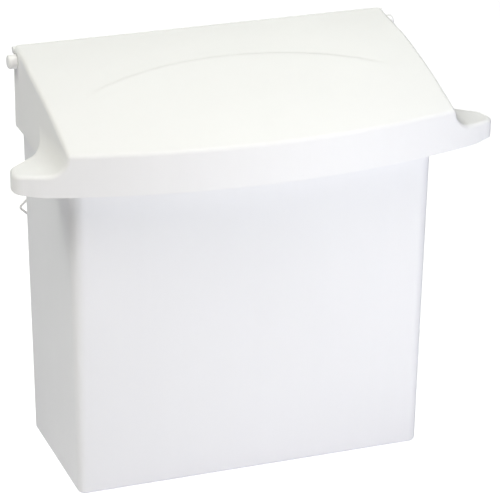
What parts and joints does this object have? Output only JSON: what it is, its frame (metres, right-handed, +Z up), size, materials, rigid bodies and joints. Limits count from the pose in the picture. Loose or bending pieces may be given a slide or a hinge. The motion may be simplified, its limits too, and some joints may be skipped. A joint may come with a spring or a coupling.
{
  "type": "wall-hung waste receptacle",
  "caption": "Slim wall-hung waste receptacle: drafted plastic tub, sloping hinged lid with a bow-fronted lip and two lifting ears, a lift-out rigid liner and a wire hanger.",
  "frame": {"origin": "centre of the base, on the surface it stands on, midway between the wall face and the front of the lip", "axes": "+Z up, +Y towards the wall, front faces -Y, +X to the right seen from the front"},
  "size_m": [0.3176, 0.147, 0.274],
  "materials": {
    "tub_plastic": "satin moulded polyethylene, cool white",
    "lid_plastic": "fine-textured moulded polyethylene, warm white",
    "pin_plastic": "smooth moulded nylon, white",
    "liner_plastic": "satin moulded polyethylene, pale grey-white",
    "spring_wire": "drawn zinc-plated spring wire"
  },
  "bodies": {
    "root": {"receptacle_body": "tub_plastic", "hinge_pin_left": "pin_plastic", "hinge_pin_right": "pin_plastic", "wall_hanger_wire": "spring_wire"},
    "lid": {"lid": "lid_plastic"},
    "liner": {"rigid_liner": "liner_plastic"}
  },
  "joints": [
    {"name": "lid_hinge", "type": "hinge", "parent": "root", "child": "lid", "pos_m": [0, 0.0625, 0.265], "axis": [-1, 0, 0], "range_deg": [0, 100]},
    {"name": "liner_lift", "type": "slide", "parent": "root", "child": "liner", "axis": [0, 0, 1], "range_m": [0, 0.035]}
  ]
}
